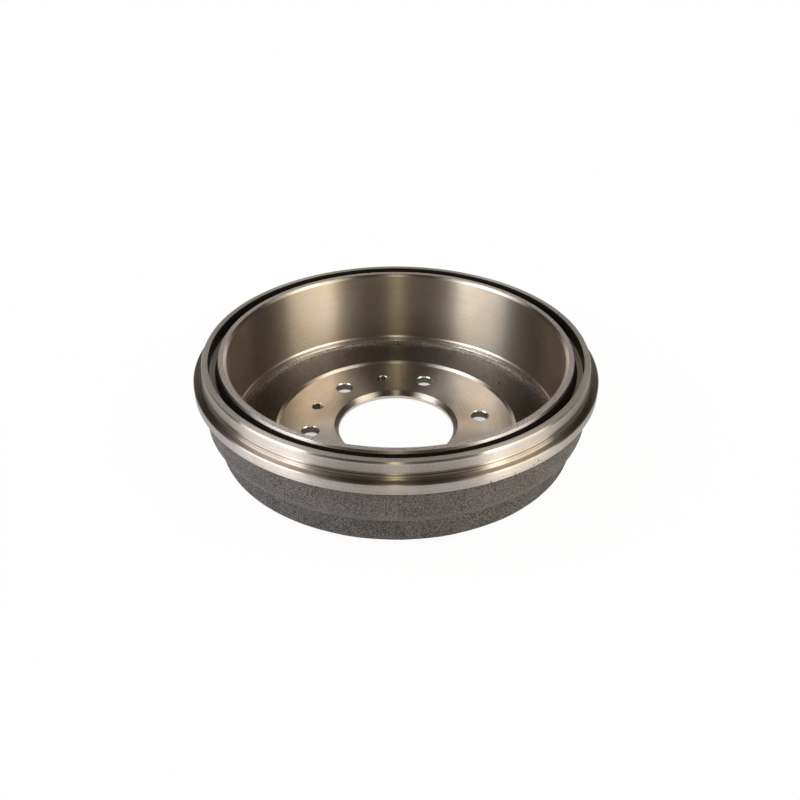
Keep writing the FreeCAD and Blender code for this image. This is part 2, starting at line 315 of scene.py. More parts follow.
class StudioSettings(bpy.types.PropertyGroup):
    """The camera, the lamps and the floor."""

    turn: angle("View turn", "Turn of camera and lamps about the axis", -9.85)
    distance: length("Distance", "Camera to the point it aims at", 647.2)
    elevation: angle("Elevation", "Camera above the horizon", 32.949)
    aim_x: bpy.props.FloatProperty(
        name="Aim across", description="Aim point, to the right", default=3.1 * MM, unit="LENGTH"
    )
    aim_y: bpy.props.FloatProperty(
        name="Aim along", description="Aim point, away", default=-75.1 * MM, unit="LENGTH"
    )
    roll: angle("Roll", "Camera about its line of sight", 0.316)
    lens: bpy.props.FloatProperty(
        name="Lens", description="Focal length", default=41.375, min=1.0, unit="CAMERA"
    )
    floor_radius: length("Floor", "Radius of the pale floor", 8000.0)
    floor: tint("Floor colour", "Pale floor", 0.86, 0.86, 0.86)
    floor_glow: factor("Floor glow", "How white the floor shows beside the drum", 0.95)
    floor_mirror: factor("Floor in metal", "How white the floor shows in the metal", 0.65)
    floor_shade: factor("Floor shade", "How much of that is lost under the hub plate", 0.62)
    shadow_start: length("Shadow start", "Radius where the shadow starts to fade", 170.0)
    shadow_end: length("Shadow end", "Radius where the floor is plain white", 320.0)
    under_start: length("Underside start", "Radius where the floor is in the dark", 130.0)
    under_end: length("Underside end", "Radius where it is in the light", 175.0)
    room: tint("Room", "Dim surroundings above the floor", 0.062, 0.056, 0.050)
    left_lamp: factor("Left lamp", "Brightness of the tall left softbox", 3.6, 50.0)
    left_low: factor("Left low lamp", "Brightness of the low one before it", 9.6, 50.0)
    left_high: factor("Left high lamp", "Brightness of the high one behind it", 2.4, 50.0)
    right_lamp: factor("Right lamp", "Brightness of the tall right softbox", 3.5, 50.0)
    right_low: factor("Right low lamp", "Brightness of the low one before it", 9.6, 50.0)
    right_high: factor("Right high lamp", "Brightness of the high one behind it", 1.3, 50.0)
    back_lamp: factor("Back lamp", "Brightness of the low panel behind", 1.1, 50.0)
    front_lamp: factor("Front lamp", "Brightness of the narrow front strip", 3.4, 50.0)
    front_high: factor("Front high lamp", "Brightness of the strip above it", 2.3, 50.0)


# Materials


# How many of each feature there are to a metre of iron
RINGS = 2600.0
SCORES = 750.0
STREAK_BANDS = 260.0
STAINS = 26.0
SPECKLES = 1100.0
PORES = 330.0
PORE_PATCHES = 85.0
BLOTCHES = 70.0
SLOW_BLOTCHES = 18.0

# Streaks to a radian around the axis
STREAKS = 2.4

# Scattered cells and waves of noise to the length of a cast grain
GRAIN_CELLS = 1.2
GRAIN_NOISE = 1.4

# The level of noise at which each feature starts to show, and shows in full
STAIN_RANGE = (0.40, 0.68)
STREAK_RANGE = (0.42, 0.72)
SPECKLE_RANGE = (0.40, 0.60)
SCORE_RANGE = (0.47, 0.55)
PATCH_RANGE = (0.60, 0.70)
PIT_RANGE = (0.64, 0.74)
SKIN_RANGE = (0.48, 0.90)

# Up to where a pore and a mark are whole, and where they end, as shares of the
# pore's cell and of the mark's reach
PORE_RANGE = (0.05, 0.14)
MARK_RANGE = (0.35, 0.75)

# What streaks and speckles, and then scores, leave of a turned finish's colour,
# and how strongly streaks and scattered pores show
DARKER = 0.45
DARKEST = 0.15
STREAK_SHARE = 0.14
PORE_SHARE = 0.5

# The gloss is drawn out across the tool marks by a quarter turn
GLOSS_TURN = 0.25

# How strong the bump of turned and of cast iron is, and the tool marks' height
TURNED_BUMP = 0.25
CAST_BUMP = 0.8
TOOL_MARK = 0.02 * MM


class Signal:
    """A number in a material; arithmetic on it adds Math nodes."""

    def __init__(self, paint, socket):
        self.paint = paint
        self.socket = socket

    def __add__(self, other):
        return self.paint.maths("ADD", self, other)

    def __radd__(self, other):
        return self.paint.maths("ADD", other, self)

    def __sub__(self, other):
        return self.paint.maths("SUBTRACT", self, other)

    def __rsub__(self, other):
        return self.paint.maths("SUBTRACT", other, self)

    def __mul__(self, other):
        return self.paint.maths("MULTIPLY", self, other)

    def __rmul__(self, other):
        return self.paint.maths("MULTIPLY", other, self)

    def __truediv__(self, other):
        return self.paint.maths("DIVIDE", self, other)

    def __rtruediv__(self, other):
        return self.paint.maths("DIVIDE", other, self)


class Paint:
    """One node tree, filled one node at a time."""

    def __init__(self, tree):
        self.tree = tree
        self.tree.nodes.clear()

    def node(self, kind, settings=None, inputs=None, output=0):
        """Add a node, set it up, join its inputs, and return one output."""
        made = self.tree.nodes.new(kind)
        for name, value in (settings or {}).items():
            setattr(made, name, value)
        sockets = {socket.identifier: socket for socket in made.inputs}
        for name, value in (inputs or {}).items():
            if isinstance(value, Signal):
                self.tree.links.new(value.socket, sockets[name])
            else:
                sockets[name].default_value = value
        for index, socket in enumerate(made.outputs):
            if output in (index, socket.identifier):
                return Signal(self, socket)
        return None

    def maths(self, operation, *values):
        """A Math node on numbers and signals."""
        sockets = dict(zip(("Value", "Value_001"), values))
        return self.node("ShaderNodeMath", {"operation": operation}, sockets)

    def between(self, value, low, high):
        """0 below low, 1 above high and smooth between them."""
        return self.node(
            "ShaderNodeMapRange",
            {"interpolation_type": "SMOOTHSTEP"},
            {"Value": value, "From Min": low, "From Max": high},
        )

    def spot(self, position, place, reach):
        """1 in a ragged patch around a place, and 0 beyond its reach."""
        away = self.node(
            "ShaderNodeVectorMath",
            {"operation": "DISTANCE"},
            {"Vector": position, "Vector_001": place},
            "Value",
        )
        ragged = away + (self.noise(position, SPECKLES, 2.0) - 0.5) * reach
        core, edge = MARK_RANGE
        return 1.0 - self.between(ragged, core * reach, edge * reach)

    def marks(self, position, name, share):
        """A share that rises to 1 in a finish's dark marks."""
        for degrees, out, up, reach in MARKS.get(name, ()):
            spot = self.spot(position, around_axis(degrees, out, up), reach * MM)
            share = self.maths("MAXIMUM", share, spot)
        return share

    def mix(self, share, first, second):
        """A colour between two colours."""
        ends = {
            name: colour if isinstance(colour, Signal) else (*colour, 1.0)
            for name, colour in (("A_Color", first), ("B_Color", second))
        }
        return self.node(
            "ShaderNodeMix",
            {"data_type": "RGBA"},
            {"Factor_Float": share, **ends},
            "Result_Color",
        )

    def join(self, x, y, z):
        """A vector of three numbers."""
        return self.node("ShaderNodeCombineXYZ", None, {"X": x, "Y": y, "Z": z})

    def noise(self, vector, scale, detail=2.0, roughness=0.5):
        """Soft noise from 0 to 1."""
        return self.node(
            "ShaderNodeTexNoise",
            None,
            {"Vector": vector, "Scale": scale, "Detail": detail, "Roughness": roughness},
            "Fac",
        )

    def cells(self, vector, scale):
        """Distance to the nearest of scattered points."""
        return self.node(
            "ShaderNodeTexVoronoi", None, {"Vector": vector, "Scale": scale}, "Distance"
        )

    def position(self):
        """Where a spot lies on the object."""
        return self.node("ShaderNodeTexCoord", None, None, "Object")

    def parts(self, position):
        """A position's three parts, and its distance from the axis."""
        split = self.node("ShaderNodeSeparateXYZ", None, {"Vector": position}).socket.node
        x, y, z = (Signal(self, socket) for socket in split.outputs)
        return x, y, z, self.maths("SQRT", x * x + y * y)

    def iron(self, kind, colour, rough, height, strength, distance):
        """End in iron of a kind, with its colour, roughness and bump."""
        bump = self.node(
            "ShaderNodeBump", None, {"Strength": strength, "Distance": distance, "Height": height}
        )
        iron = self.node(
            "ShaderNodeBsdfPrincipled",
            None,
            {
                "Base Color": colour,
                "Metallic": kind.metal,
                "Roughness": rough,
                "Anisotropic": kind.brushing,
                "Anisotropic Rotation": GLOSS_TURN,
                "Normal": bump,
            },
        )
        self.node("ShaderNodeOutputMaterial", None, {"Surface": iron})


def new_material(name):
    """An empty node material."""
    material = bpy.data.materials.new(name)
    material.use_nodes = True
    return material


# A turned finish: its name and its colour's name, then the roughness, how far
# the gloss is drawn out across the tool marks, how deep these are, how
# speckled the skin is, how dark its scores are, and how bare the metal is.
Turned = namedtuple(
    "Turned", "name colour roughness brushing grain speckle scores metal", defaults=(0.0, 1.0)
)
TURNED = (
    Turned("turned_track", "turned", 0.40, 0.96, 0.6, 0.05),
    Turned("turned_rim", "rim", 0.42, 0.90, 1.0, 0.25, 0.12),
    Turned("turned_steps", "steps", 0.34, 0.96, 0.8, 0.1, 0.75),
    Turned("turned_bevels", "bevel", 0.30, 0.92, 0.6, 0.0),
    Turned("turned_inner_lip", "inner_lip", 0.50, 0.85, 1.4, 1.0, 0.1, 0.4),
    Turned("turned_outer_lip", "outer_lip", 0.44, 0.93, 1.2, 0.5, 0.2, 0.6),
    Turned("groove_floor", "groove", 0.45, 0.80, 1.0, 0.2, 0.2, 0.4),
    # The groove's walls: painted shade, near black
    Turned("groove_walls", "scale", 0.60, 0.30, 1.0, 0.0),
    Turned("turned_seat", "seat", 0.24, 1.0, 0.25, 0.0, 0.06),
    Turned("inner_bevels", "inner_bevel", 0.30, 0.95, 0.4, 0.0),
    Turned("turned_relief", "relief", 0.25, 1.0, 0.4, 0.0, 0.06),
    Turned("hole_mouths", "mouth", 0.25, 0.0, 0.4, 0.0),
    Turned("drilled_iron", "drilled", 0.32, 0.0, 1.0, 0.0),
    Turned("tapped_iron", "thread", 0.24, 0.0, 0.6, 0.0),
)

# A cast finish: its name and its colour's name, then the roughness, how bare
# the metal is, how far the gloss is drawn out, and the size and height of the
# grains. Its hollows have the colour of that name with "_dark".
Cast = namedtuple("Cast", "name colour roughness metal brushing grain relief")
SKINS = (
    Cast("cast_web", "web", 0.45, 1.0, 0.80, 1.4 * MM, 0.10 * MM),
    Cast("cast_fillet", "fillet", 0.45, 1.0, 0.60, 1.4 * MM, 0.16 * MM),
    Cast("cast_outside", "cast", 0.62, 0.35, 0.0, 1.2 * MM, 0.25 * MM),
    # Painted highlight on the heavy band's rounded foot
    Cast("cast_edge", "edge", 0.60, 0.35, 0.0, 1.2 * MM, 0.20 * MM),
    Cast("cast_base", "base", 0.66, 0.30, 0.0, 1.3 * MM, 0.36 * MM),
)


def turned_iron(finish, kind):
    """Bare iron off the lathe: fine rings, faint stain, speckle and open pores."""
    material = new_material(kind.name)
    paint = Paint(material.node_tree)
    position = paint.position()
    x, y, z, radius = paint.parts(position)
    base = tuple(getattr(finish, kind.colour))
    stained = tuple(part * share for part, share in zip(base, finish.stain))
    darker = tuple(DARKER * part for part in base)
    darkest = tuple(DARKEST * part for part in base)
    across = radius + z
    around = paint.join(x / radius, y / radius, across * STREAK_BANDS)
    rings = paint.noise(paint.join(across * RINGS, 0.0, 0.0), 1.0, 3.0, 0.6)
    streaks = paint.noise(around, STREAKS, 3.0, 0.55)
    stain = paint.noise(position, STAINS, 4.0, 0.55)
    pore = 1.0 - paint.between(paint.cells(position, PORES), *PORE_RANGE)
    patch = paint.between(paint.noise(position, PORE_PATCHES), *PATCH_RANGE)
    pore = paint.marks(position, kind.name, pore * patch * PORE_SHARE)
    coarse = paint.between(paint.noise(position, SPECKLES, 1.0), *SPECKLE_RANGE)
    colour = paint.mix(paint.between(stain, *STAIN_RANGE), base, stained)
    colour = paint.mix(paint.between(streaks, *STREAK_RANGE) * STREAK_SHARE, colour, darker)
    colour = paint.mix((1.0 - coarse) * kind.speckle, colour, darker)
    if kind.scores:
        scores = paint.noise(paint.join(across * SCORES, 0.0, 0.0), 1.0, 2.0, 0.6)
        colour = paint.mix(paint.between(scores, *SCORE_RANGE) * kind.scores, colour, darkest)
    colour = paint.mix(pore, colour, tuple(finish.speck))
    rough = kind.roughness + (rings - 0.5) * (0.08 * kind.grain) + (streaks - 0.5) * 0.06
    rough = rough + (stain - 0.5) * 0.08 + pore * 0.2
    height = (rings + streaks - pore * 2.0) * kind.grain + coarse * (2.0 * kind.speckle)
    paint.iron(kind, colour, rough, height, TURNED_BUMP, TOOL_MARK)
    return material


def cast_skin(finish, kind):
    """Sand cast iron: packed grains, slow blotches and small pits."""
    material = new_material(kind.name)
    paint = Paint(material.node_tree)
    position = paint.position()
    light = tuple(getattr(finish, kind.colour))
    dark = tuple(getattr(finish, kind.colour + "_dark"))
    grains = paint.cells(position, GRAIN_CELLS / kind.grain)
    fine = paint.noise(position, GRAIN_NOISE / kind.grain, 2.0, 0.6)
    blotch = paint.noise(position, BLOTCHES, 3.0, 0.55)
    slow = paint.noise(position, SLOW_BLOTCHES)
    pit = paint.between(paint.noise(position, PORES), *PIT_RANGE)
    level = fine * 0.9 + (1.0 - grains) * 0.35 + (blotch - 0.5) * 0.14 + (slow - 0.5) * 0.10
    level = level - pit * 0.35
    colour = paint.mix(paint.between(level, *SKIN_RANGE), dark, light)
    # Painted shade: the dark marks in the web's sand pits
    if kind.name in MARKS:
        colour = paint.mix(paint.marks(position, kind.name, 0.0), colour, tuple(finish.speck))
    rough = kind.roughness + (fine - 0.5) * 0.2 + pit * 0.15
    height = fine * 0.9 + (1.0 - grains) * 0.5 + blotch * 0.5 - pit * 0.7
    paint.iron(kind, colour, rough, height, CAST_BUMP, kind.relief)
    return material


def make_finishes(finish):
    """The drum's materials, in the order of its slots."""
    turned = [turned_iron(finish, kind) for kind in TURNED]
    return turned + [cast_skin(finish, kind) for kind in SKINS]


# The casting


# A corner of a section. The finish is that of the run from it to the next
# corner. A corner with a finish of its own names it last, with how far it
# reaches beside and above the corner, as shares of the rounding.
Corner = namedtuple("Corner", "radius height rounding steps finish own", defaults=(None,))


def section_corners(sizes):
    """The drum's section from the hub seat, up the inside, over the lips, down
    the outside and in along the back."""
    sharp = (sizes.edge_break, EDGE_SEGMENTS)
    top = sizes.overall_height
    track = sizes.friction_dia / 2
    mouth = track + sizes.mouth_bevel_width
    relief = track - sizes.shoulder_step
    web_top = sizes.hub_plate + sizes.hub_recess_depth
    step_foot = web_top + sizes.relief_height
    lip_edge = mouth + sizes.inner_lip_land
    lip_bevel = lip_edge + sizes.inner_lip_bevel_width
    lip_foot = lip_bevel + sizes.inner_lip_flare
    groove_floor = top - sizes.groove_depth
    groove_outer = lip_bevel + sizes.groove_width
    outer_land = groove_outer + sizes.outer_lip_land
    wall = outer_land + sizes.outer_lip_bevel_width
    wall_foot = top - sizes.outer_lip_drop
    slope_one = wall + sizes.foot_slope_width
    slope_one_foot = wall_foot - sizes.foot_slope_depth
    riser_foot = slope_one_foot - sizes.foot_riser
    slope_two = slope_one + sizes.foot_slope_width
    rim = wall + sizes.rim_overhang
    rim_top = top - sizes.rim_drop
    rim_bottom = rim_top - sizes.rim_thickness
    heavy = track + sizes.heavy_band_wall
    heavy_foot = rim_bottom - sizes.heavy_band_height
    shoulder_foot = heavy_foot - sizes.cast_shoulder
    base = track + sizes.base_wall
    seat = sizes.hub_face_dia / 2
    face = sizes.wheel_face_dia / 2
    face_bevel = face + sizes.wheel_face_bevel
    return [
        Corner(seat, sizes.hub_plate, 0.0, 0, INNER_BEVEL),
        Corner(seat + sizes.hub_recess_slope, web_top, *sharp, WEB),
        Corner(
            relief, web_top, sizes.inner_fillet, FILLET_SEGMENTS, RELIEF, (FILLET, 1.3, 0.62)
        ),
        Corner(relief, step_foot, *sharp, INNER_BEVEL),
        Corner(track, step_foot + sizes.shoulder_step, *sharp, TRACK),
        Corner(track, top - sizes.mouth_bevel_depth, *sharp, INNER_BEVEL),
        Corner(mouth, top, *sharp, INNER_LIP),
        Corner(lip_edge, top, *sharp, RIM),
        Corner(lip_bevel, top - sizes.inner_lip_bevel_depth, *sharp, GROOVE_SHADE),
        Corner(lip_foot, groove_floor, sizes.groove_fillet, CORNER_SEGMENTS, GROOVE),
        Corner(groove_outer, groove_floor, *sharp, GROOVE_SHADE),
        Corner(groove_outer, top, *sharp, OUTER_LIP),
        Corner(outer_land, top, *sharp, BEVEL),
        Corner(wall, top - sizes.outer_lip_bevel_depth, *sharp, RIM),
        Corner(wall, wall_foot, *sharp, STEPS),
        Corner(slope_one, slope_one_foot, *sharp, STEPS),
        Corner(slope_one, riser_foot, *sharp, STEPS),
        Corner(slope_two, riser_foot - sizes.foot_slope_depth, *sharp, STEPS),
        Corner(slope_two, rim_top, *sharp, STEPS),
        Corner(rim - sizes.rim_bevel, rim_top, *sharp, STEPS),
        Corner(rim, rim_top - sizes.rim_bevel, *sharp, RIM),
        Corner(rim, rim_bottom + sizes.rim_break, *sharp, RIM),
        Corner(rim - sizes.rim_break, rim_bottom, *sharp, STEPS),
        Corner(heavy, rim_bottom, *sharp, CAST),
        # The heavy band's rounded foot carries the painted highlight
        Corner(
            heavy, heavy_foot, sizes.heavy_band_edge, CORNER_SEGMENTS, CAST, (FOOT_HIGHLIGHT, 0.9, 1.6)
        ),
        Corner(base, shoulder_foot, sizes.shoulder_fillet, CORNER_SEGMENTS, BASE),
        Corner(base, sizes.base_setback, sizes.base_corner, BASE_SEGMENTS, BASE),
        Corner(face_bevel, sizes.base_setback, *sharp, SEAT),
        Corner(face_bevel, sizes.wheel_face_bevel, *sharp, SEAT),
        Corner(face, 0.0, 0.0, 0, SEAT),
    ]


def bore_corners(sizes):
    """The centring bore, from the wheel face to the hub seat."""
    sharp = (sizes.edge_break, EDGE_SEGMENTS)
    bore = sizes.bore_dia / 2
    return [
        Corner(bore + sizes.bore_edge, 0.0, 0.0, 0, BEVEL),
        Corner(bore, sizes.bore_edge, *sharp, SEAT),
        Corner(bore, sizes.hub_plate - sizes.bore_bevel, *sharp, BEVEL),
        Corner(bore + sizes.bore_bevel, sizes.hub_plate, 0.0, 0, BEVEL),
    ]


def stud_corners(sizes):
    """One stud hole, from the wheel face to the hub seat."""
    hole = sizes.stud_hole_dia / 2
    mouth = sizes.stud_bevel_dia / 2
    return [
        Corner(hole + sizes.stud_break, 0.0, 0.0, 0, DRILLED),
        Corner(hole, sizes.stud_break, 0.0, 0, DRILLED),
        Corner(hole, sizes.hub_plate - (mouth - hole), 0.0, 0, MOUTH),
        Corner(mouth, sizes.hub_plate, 0.0, 0, MOUTH),
    ]


def trim(spots, rounding):
    """How far back from the middle of three spots its rounding starts."""
    before, here, after = (Vector(spot) for spot in spots)
    turn = (here - before).angle(after - here)
    return rounding * math.tan(turn / 2)


def draw_wire(bm, corners):
    """Draw a section as a wire in the XZ plane, with its corners rounded."""
    verts = [bm.verts.new((corner.radius, 0.0, corner.height)) for corner in corners]
    spots = [vert.co.copy() for vert in verts]
    for first, second in zip(verts, verts[1:]):
        bm.edges.new((first, second))
    for index, corner in enumerate(corners):
        if corner.steps:
            bmesh.ops.bevel(
                bm,
                geom=[verts[index]],
                offset=trim(spots[index - 1 : index + 2], corner.rounding),
                offset_type="OFFSET",
                segments=corner.steps,
                profile=0.5,
                affect="VERTICES",
                material=-1,
            )


def run_finish(corners, radius, height):
    """The finish of the run of a section that lies nearest to a place."""
    place = Vector((radius, height))
    ends = [Vector((corner.radius, corner.height)) for corner in corners]
    for corner, end in zip(corners, ends):
        if corner.own is not None:
            finish, beside, above = corner.own
            reach = corner.rounding
            if abs(place.x - end.x) < beside * reach and abs(place.y - end.y) < above * reach:
                return finish
    nearest = None
    for corner, first, second in zip(corners, ends, ends[1:]):
        foot, share = geometry.intersect_point_line(place, first, second)
        foot = first if share < 0.0 else second if share > 1.0 else foot
        away = (place - foot).length
        if nearest is None or away < nearest[0]:
            nearest = (away, corner.finish)
    return nearest[1]


def middle_of(edge):
    """The place halfway along an edge."""
    return (edge.verts[0].co + edge.verts[1].co) / 2


def divide_cast_runs(bm, corners, spacing):
    """Divide the wire's long cast runs, so that their faces can swell."""
    for edge in list(bm.edges):
        cuts = int(edge.calc_length() / spacing)
        middle = middle_of(edge)
        if cuts and run_finish(corners, middle.x, middle.z) in SAND_CAST:
            bmesh.ops.subdivide_edges(bm, edges=[edge], cuts=cuts)


def spin_wire(bm, angle_turned, steps, rise, closed):
    """Turn a wire around Z: closed after one turn, or with a rise at each step."""
    bmesh.ops.spin(
        bm,
        geom=bm.verts[:] + bm.edges[:],
        cent=(0.0, 0.0, 0.0),
        axis=(0.0, 0.0, 1.0),
        dvec=(0.0, 0.0, rise),
        angle=angle_turned,
        steps=steps,
        use_merge=closed,
        use_normal_flip=False,
        use_duplicate=False,
    )


def turned_part(corners, steps, spacing):
    """A section turned once around Z into a skin with its finishes."""
    bm = bmesh.new()
    draw_wire(bm, corners)
    divide_cast_runs(bm, corners, spacing)
    spin_wire(bm, math.tau, steps, 0.0, True)
    rings = {}
    for face in bm.faces:
        middle = face.calc_center_median()
        ring = (round(math.hypot(middle.x, middle.y), 6), round(middle.z, 6))
        if ring not in rings:
            rings[ring] = run_finish(corners, *ring)
        face.material_index = rings[ring]
    return bm


def join_into(bm, part, centre=(0.0, 0.0, 0.0)):
    """Move a part to its centre, and add its mesh to the drum's."""
    bmesh.ops.translate(part, verts=part.verts[:], vec=centre)
    mesh = bpy.data.meshes.new("joined")
    part.to_mesh(mesh)
    part.free()
    bm.from_mesh(mesh)
    bpy.data.meshes.remove(mesh)


def hole_centre(sizes, turn):
    """A place on the stud circle."""
    reach = sizes.stud_circle_dia / 2
    return Vector((reach * math.cos(turn), reach * math.sin(turn), 0.0))


def cut_thread(sizes):
    """The wall of a tapped hole about Z: a helical thread between two bevelled mouths."""
    part = bmesh.new()
    core, root = sizes.jack_core_dia / 2, sizes.jack_root_dia / 2
    mouth, pitch = sizes.jack_bevel_dia / 2, sizes.jack_pitch
    plate, lead = sizes.hub_plate, sizes.jack_lead
    turns = math.ceil(plate / pitch) + SPARE_TURNS
    start = -TURNS_BELOW * pitch
    verts = [
        part.verts.new((root if at_root else core, 0.0, start + share * pitch))
        for at_root, share in THREAD_PROFILE
    ]
    for first, second in zip(verts, verts[1:]):
        part.edges.new((first, second))
    spin_wire(part, math.tau * turns, THREAD_STEPS * turns, pitch / THREAD_STEPS, False)
    bmesh.ops.remove_doubles(part, verts=part.verts[:], dist=SAME_POINT)
    inner_cuts = [share * lead / MOUTH_CUTS for share in range(1, MOUTH_CUTS + 1)]
    cuts = [(0.0, -1.0, True), (plate, 1.0, True)]
    cuts += [(depth, 1.0, False) for depth in inner_cuts]
    cuts += [(plate - depth, 1.0, False) for depth in inner_cuts]
    for height, outwards, clear in cuts:
        bmesh.ops.bisect_plane(
            part,
            geom=part.verts[:] + part.edges[:] + part.faces[:],
            dist=SAME_POINT,
            plane_co=(0.0, 0.0, height),
            plane_no=(0.0, 0.0, outwards),
            clear_outer=clear,
            clear_inner=False,
        )
    on_mouth = set()
    for vert in part.verts:
        depth = min(vert.co.z, plate - vert.co.z)
        radius = math.hypot(vert.co.x, vert.co.y)
        cone = mouth - depth * (mouth - core) / lead
        if radius < cone + SAME_POINT:
            vert.co.x *= cone / radius
            vert.co.y *= cone / radius
            on_mouth.add(vert)
    for face in part.faces:
        face.material_index = MOUTH if on_mouth.issuperset(face.verts) else TAPPED
    return part


def fill_flat(bm, height):
    """Fill a flat face between the open rings at one height."""
    rings = [
        edge
        for edge in bm.edges
        if edge.is_boundary and all(abs(vert.co.z - height) < SAME_HEIGHT for vert in edge.verts)
    ]
    filled = bmesh.ops.triangle_fill(bm, use_beauty=True, edges=rings, normal=(0.0, 0.0, 1.0))
    for face in filled["geom"]:
        if isinstance(face, bmesh.types.BMFace):
            face.material_index = SEAT


def is_cast(vert):
    """Whether a vertex lies inside the cast skin, away from turned faces."""
    return all(face.material_index in SAND_CAST for face in vert.link_faces)


def swell_casting(bm, sizes):
    """Give the cast faces the slow, uneven swell that sand leaves."""
    bm.normal_update()
    moves = []
    for vert in bm.verts:
        if is_cast(vert):
            slow = noise.noise(vert.co / sizes.cast_wave)
            quick = noise.noise(vert.co * QUICK_WAVES / sizes.cast_wave)
            moves.append((vert, vert.normal * sizes.cast_swell * (slow + QUICK_SHARE * quick)))
    for vert, move in moves:
        vert.co += move


def sand_pits(sizes):
    """Each small pit in the web: its place, reach and depth."""
    web_top = sizes.hub_plate + sizes.hub_recess_depth
    for degrees, radius, reach, depth in SAND_PITS:
        yield around_axis(degrees, radius, web_top / MM), reach * MM, depth * MM


def dent_casting(bm, sizes):
    """Sink the small sand pits into the web, on a finer mesh around them."""
    pits = list(sand_pits(sizes))
    near = [
        edge
        for edge in bm.edges
        if any((middle_of(edge) - place).length < PIT_SURROUND * reach for place, reach, _ in pits)
    ]
    bmesh.ops.subdivide_edges(bm, edges=near, cuts=PIT_CUTS, use_grid_fill=True)
    bmesh.ops.triangulate(bm, faces=[face for face in bm.faces if len(face.verts) > 4])
    for place, reach, depth in pits:
        for vert in bm.verts:
            away = (vert.co - place).length / reach
            if away < 1.0:
                vert.co.z -= depth * (1.0 - away * away) ** 2


def mark_edges(bm):
    """Shade all faces smooth, up to the edges that turn."""
    crease = math.radians(CREASE)
    for face in bm.faces:
        face.smooth = True
    for edge in bm.edges:
        edge.smooth = edge.calc_face_angle(0.0) < crease


class DRUM_OT_casting(bpy.types.Operator):
    """Build the drum: turned and cast skin, stud holes and tapped holes"""

    bl_idname = "drum.casting"
    bl_label = "Drum casting"

    def execute(self, context):
        sizes = context.scene.drum_sizes
        spacing = sizes.cast_spacing
        bm = bmesh.new()
        join_into(bm, turned_part(section_corners(sizes), DRUM_STEPS, spacing))
        join_into(bm, turned_part(bore_corners(sizes), DRUM_STEPS, spacing))
        for index in range(sizes.stud_hole_count):
            centre = hole_centre(sizes, math.tau * index / sizes.stud_hole_count)
            join_into(bm, turned_part(stud_corners(sizes), HOLE_STEPS, spacing), centre)
        for index in range(sizes.jack_hole_count):
            centre = hole_centre(sizes, sizes.jack_first_angle + index * sizes.jack_spacing)
            join_into(bm, cut_thread(sizes), centre)
        fill_flat(bm, sizes.hub_plate)
        fill_flat(bm, 0.0)
        bmesh.ops.remove_doubles(bm, verts=bm.verts[:], dist=SAME_POINT)
        bmesh.ops.recalc_face_normals(bm, faces=bm.faces[:])
        open_edges = sum(not edge.is_manifold for edge in bm.edges)
        if open_edges:
            raise RuntimeError(f"the casting has {open_edges} open edges")
        swell_casting(bm, sizes)
        dent_casting(bm, sizes)
        mark_edges(bm)
        mesh = bpy.data.meshes.new("drum_casting")
        bm.to_mesh(mesh)
        bm.free()
        for material in make_finishes(context.scene.drum_finish):
            mesh.materials.append(material)
        piece = bpy.data.objects.new("drum_casting", mesh)
        context.scene.collection.objects.link(piece)
        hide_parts(NODE)
        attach(piece, BODY)
        return {"FINISHED"}


# The studio


# The power of each square metre of a lamp at a brightness of 1
LAMP_POWER = 4.0

# The camera's film in millimetres, and its nearest and furthest sight in metres
FILM_WIDTH = 36.0
SIGHT = (0.01, 100.0)

# The floor lies a hair under the drum. What its shade hides fades out over this
# share of the radius where it starts.
FLOOR_SEGMENTS = 96
FLOOR_DROP = 0.05 * MM
SHADE_FADE = 1.2


def turned_about_axis(studio, x, y, z):
    """A place given in the camera's own directions, in the drum's frame."""
    return Matrix.Rotation(studio.turn, 4, "Z") @ Vector((x, y, z))


# A lamp's light: a cool one on the left, warm ones on the right and behind, and
# a golden one at the camera's side
COOL = (0.99, 1.0, 1.0)
WARM = (1.0, 0.93, 0.80)
MILD = (1.0, 0.93, 0.82)
GOLDEN = (1.0, 0.93, 0.64)

# A soft lamp. Its direction and rise are in degrees: 270 is the camera's side
# of the drum, 0 its right, and the rise is above the horizon. Its distance,
# width and height are in metres.
Lamp = namedtuple("Lamp", "name direction rise distance width height colour")
LAMPS = (
    Lamp("left_lamp", 200.0, 31.0, 1.15, 0.62, 1.38, COOL),
    Lamp("left_low", 220.0, 10.0, 1.15, 0.20, 0.41, COOL),
    Lamp("left_high", 170.0, 52.0, 1.15, 0.60, 0.41, COOL),
    Lamp("right_lamp", 340.0, 31.0, 1.30, 0.70, 1.56, WARM),
    Lamp("right_low", 320.0, 10.0, 1.30, 0.23, 0.46, WARM),
    Lamp("right_high", 370.0, 52.0, 1.30, 0.70, 0.46, WARM),
    Lamp("back_lamp", 90.0, 20.0, 1.00, 0.73, 0.43, MILD),
    Lamp("front_lamp", 270.0, 15.0, 0.90, 0.07, 0.50, GOLDEN),
    Lamp("front_high", 270.0, 60.0, 0.90, 0.11, 0.38, GOLDEN),
)


def add_lamp(context, studio, lamp):
    """A soft rectangular lamp that faces the drum."""
    data = bpy.data.lights.new(lamp.name, "AREA")
    data.shape = "RECTANGLE"
    data.size = lamp.width
    data.size_y = lamp.height
    data.energy = LAMP_POWER * lamp.width * lamp.height * getattr(studio, lamp.name)
    data.color = lamp.colour
    direction, rise = math.radians(lamp.direction), math.radians(lamp.rise)
    target = Vector((0.0, 0.0, context.scene.drum_sizes.overall_height / 2))
    out, up = lamp.distance * math.cos(rise), lamp.distance * math.sin(rise)
    away = turned_about_axis(studio, out * math.cos(direction), out * math.sin(direction), up)
    made = bpy.data.objects.new(lamp.name, data)
    made.location = target + away
    made.rotation_mode = "QUATERNION"
    made.rotation_quaternion = (-away).to_track_quat("-Z", "Y")
    made.visible_camera = False
    context.scene.collection.objects.link(made)


